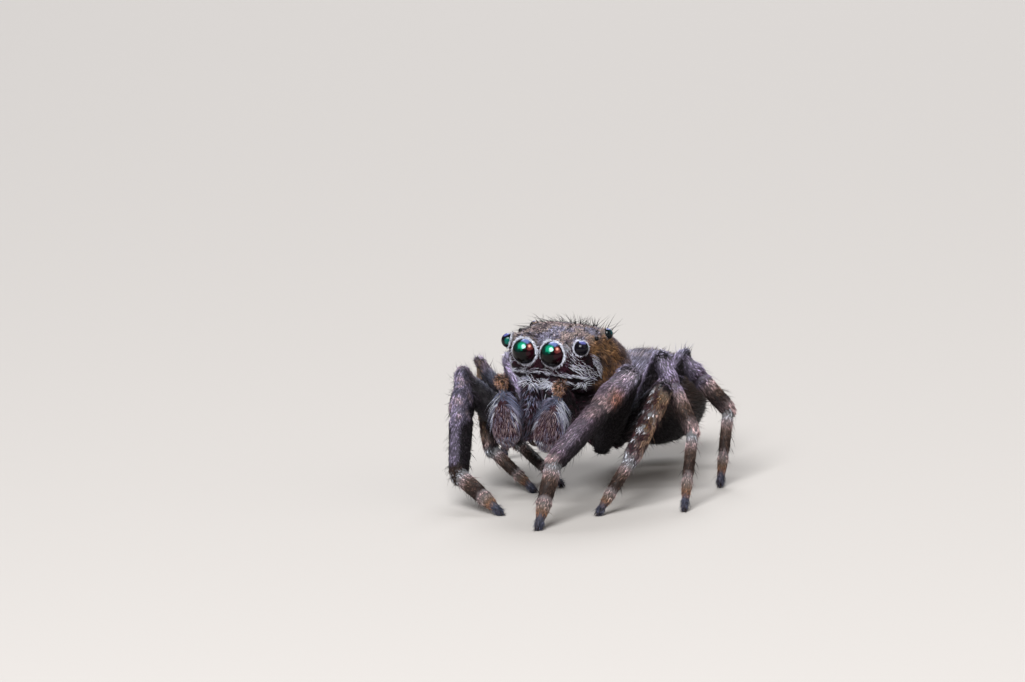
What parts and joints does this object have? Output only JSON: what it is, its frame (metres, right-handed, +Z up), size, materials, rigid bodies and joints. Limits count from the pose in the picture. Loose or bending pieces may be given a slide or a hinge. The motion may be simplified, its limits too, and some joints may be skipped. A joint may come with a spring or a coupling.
{
  "type": "jumping spider",
  "caption": "Life-size jumping spider standing on bent legs, with large front eyes, hanging palps and an egg-shaped abdomen; a still display model.",
  "frame": {"origin": "on the floor, under the middle of the spider's bounding box", "axes": "+Z up, the face turned to -Y, the spider's own left is +X"},
  "size_m": [0.0066, 0.0084, 0.0034],
  "materials": {
    "head_coat": "short flat scale hairs, tan and grey over dark skin",
    "abdomen_coat": "short flat hairs, dark brown and grey",
    "palp_coat": "dark maroon skin under long grey hairs",
    "femur_coat": "dark skin with grey-lilac scale hairs",
    "tibia_coat": "brown-grey and lilac scale hairs",
    "foot_coat": "pinkish tan with dark rings",
    "belly_skin": "dark, satin, sparsely haired",
    "jaw_skin": "dark maroon, satin",
    "eye_lens": "mirror-smooth dark lens with a green glint",
    "claw_horn": "glossy dark horn"
  },
  "bodies": {
    "root": {"eye_front_middle_left": "eye_lens", "eye_front_side_left": "eye_lens", "eye_back_middle_left": "eye_lens", "eye_back_side_left": "eye_lens", "eye_front_middle_right": "eye_lens", "eye_front_side_right": "eye_lens", "eye_back_middle_right": "eye_lens", "eye_back_side_right": "eye_lens", "carapace": "head_coat", "sternum": "belly_skin", "mouthparts": "jaw_skin", "abdomen": "abdomen_coat", "pedicel": "belly_skin", "spinnerets": "belly_skin", "chelicera_left": "jaw_skin", "fang_left": "claw_horn", "chelicera_right": "jaw_skin", "fang_right": "claw_horn", "palp_arm_left": "palp_coat", "palp_hand_left": "palp_coat", "palp_arm_right": "palp_coat", "palp_hand_right": "palp_coat", "leg_left_1_coxa": "belly_skin", "leg_left_1_femur": "femur_coat", "leg_left_1_tibia": "tibia_coat", "leg_left_1_foot": "foot_coat", "leg_left_2_coxa": "belly_skin", "leg_left_2_femur": "femur_coat", "leg_left_2_tibia": "tibia_coat", "leg_left_2_foot": "foot_coat", "leg_left_3_coxa": "belly_skin", "leg_left_3_femur": "femur_coat", "leg_left_3_tibia": "tibia_coat", "leg_left_3_foot": "foot_coat", "leg_left_4_coxa": "belly_skin", "leg_left_4_femur": "femur_coat", "leg_left_4_tibia": "tibia_coat", "leg_left_4_foot": "foot_coat", "leg_right_1_coxa": "belly_skin", "leg_right_1_femur": "femur_coat", "leg_right_1_tibia": "tibia_coat", "leg_right_1_foot": "foot_coat", "leg_right_2_coxa": "belly_skin", "leg_right_2_femur": "femur_coat", "leg_right_2_tibia": "tibia_coat", "leg_right_2_foot": "foot_coat", "leg_right_3_coxa": "belly_skin", "leg_right_3_femur": "femur_coat", "leg_right_3_tibia": "tibia_coat", "leg_right_3_foot": "foot_coat", "leg_right_4_coxa": "belly_skin", "leg_right_4_femur": "femur_coat", "leg_right_4_tibia": "tibia_coat", "leg_right_4_foot": "foot_coat"}
  },
  "joints": []
}
